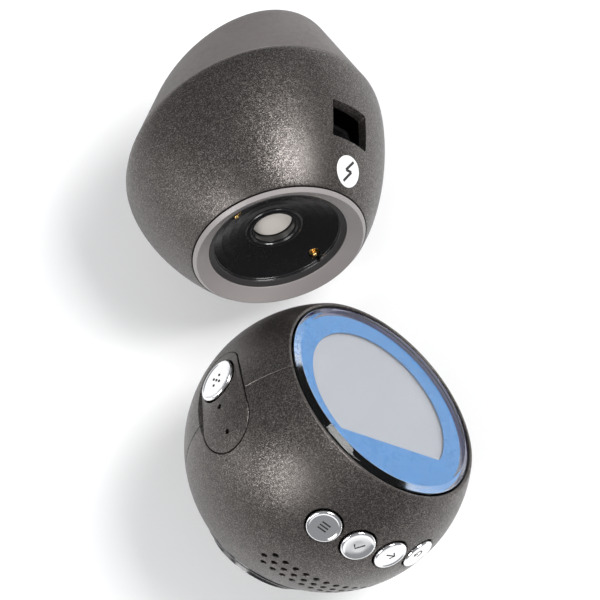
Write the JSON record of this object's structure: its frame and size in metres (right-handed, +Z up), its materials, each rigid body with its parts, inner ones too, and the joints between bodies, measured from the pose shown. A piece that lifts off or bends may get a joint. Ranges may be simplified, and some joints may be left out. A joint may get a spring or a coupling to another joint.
{
  "type": "handheld light meter",
  "caption": "Ball-shaped handheld light meter with a round display window and press keys, lying beside its magnetic charging dock.",
  "frame": {"origin": "middle of the footprint of the meter and its dock, on the table", "axes": "+Z up, +Y from the meter toward the dock, +X completes the frame; the meter lies at low Y and the dock on its side at high Y"},
  "size_m": [0.078, 0.134, 0.064],
  "materials": {
    "black_plastic": "glossy black moulding",
    "cell_wrap": "shrink-wrapped cell",
    "chrome": "bright plated key",
    "circuit_board": "green laminate",
    "clear_acrylic": "thick clear bevelled window",
    "display_grey": "segment display, pale grey and switched off",
    "gold_plate": "gold-plated contact",
    "matte_foot": "smooth matt grey-brown moulding",
    "nickel": "nickel-plated magnet",
    "printed_blue": "printed ring behind the window",
    "rubber": "black anti-slip pad",
    "seat_grey": "light warm-grey ring",
    "sparkle_paint": "moulded shell, dark warm-grey metallic sparkle lacquer",
    "speaker_cone": "paper cone",
    "steel": "plain steel"
  },
  "bodies": {
    "dock": {"dock_shell": "sparkle_paint", "dock_foot": "matte_foot", "foot_plate": "steel", "foot_pad": "rubber", "ballast_weight": "steel", "foot_screw_1": "steel", "foot_screw_2": "steel", "seat_ring": "seat_grey", "cup_insert": "black_plastic", "dock_magnet": "nickel", "magnet_yoke": "steel", "pogo_barrel_1": "gold_plate", "pogo_barrel_2": "gold_plate", "dock_board": "circuit_board", "port_frame": "black_plastic", "usb_receptacle": "steel", "usb_tongue": "black_plastic", "port_board": "circuit_board"},
    "meter": {"front_shell": "sparkle_paint", "rear_shell": "sparkle_paint", "side_panel": "sparkle_paint", "status_led": "clear_acrylic", "light_sensor": "clear_acrylic", "key_board": "circuit_board", "side_board": "circuit_board", "window_lens": "clear_acrylic", "display_mask": "printed_blue", "display_module": "display_grey", "window_bezel": "black_plastic", "main_board": "circuit_board", "battery_cell": "cell_wrap", "speaker_frame": "black_plastic", "speaker_cone": "speaker_cone", "base_cap": "black_plastic", "steel_plate": "steel", "contact_pad_1": "gold_plate", "contact_pad_2": "gold_plate", "key_menu_switch": "steel", "key_ok_switch": "steel", "key_next_switch": "steel", "key_back_switch": "steel", "side_key_switch": "steel"},
    "pogo_1": {"pogo_plunger_1": "gold_plate"},
    "pogo_2": {"pogo_plunger_2": "gold_plate"},
    "key_menu_body": {"key_menu": "chrome"},
    "key_ok_body": {"key_ok": "chrome"},
    "key_next_body": {"key_next": "chrome"},
    "key_back_body": {"key_back": "chrome"},
    "side_key_body": {"side_key": "chrome"}
  },
  "joints": [
    {"name": "meter_to_dock", "type": "slide", "parent": "dock", "child": "meter", "axis": [-0.1576, 0.7252, 0.6702], "range_m": [0, 0.02712]},
    {"name": "key_menu_press", "type": "slide", "parent": "meter", "child": "key_menu_body", "axis": [0.0405, 0.6299, -0.7757], "range_m": [0, 0.00045], "stiffness_N_per_m": 2000},
    {"name": "key_ok_press", "type": "slide", "parent": "meter", "child": "key_ok_body", "axis": [-0.1836, 0.7435, -0.6431], "range_m": [0, 0.00045], "stiffness_N_per_m": 2000},
    {"name": "key_next_press", "type": "slide", "parent": "meter", "child": "key_next_body", "axis": [-0.4016, 0.7882, -0.4663], "range_m": [0, 0.00045], "stiffness_N_per_m": 2000},
    {"name": "key_back_press", "type": "slide", "parent": "meter", "child": "key_back_body", "axis": [-0.5951, 0.7604, -0.2601], "range_m": [0, 0.00045], "stiffness_N_per_m": 2000},
    {"name": "side_key_press", "type": "slide", "parent": "meter", "child": "side_key_body", "axis": [0.7566, -0.3733, -0.5368], "range_m": [0, 0.00045], "stiffness_N_per_m": 2000},
    {"name": "pogo_1_press", "type": "slide", "parent": "dock", "child": "pogo_1", "axis": [-0.2367, 0.8866, -0.3973], "range_m": [0, 0.0007], "stiffness_N_per_m": 1000},
    {"name": "pogo_2_press", "type": "slide", "parent": "dock", "child": "pogo_2", "axis": [-0.2367, 0.8866, -0.3973], "range_m": [0, 0.0007], "stiffness_N_per_m": 1000}
  ]
}
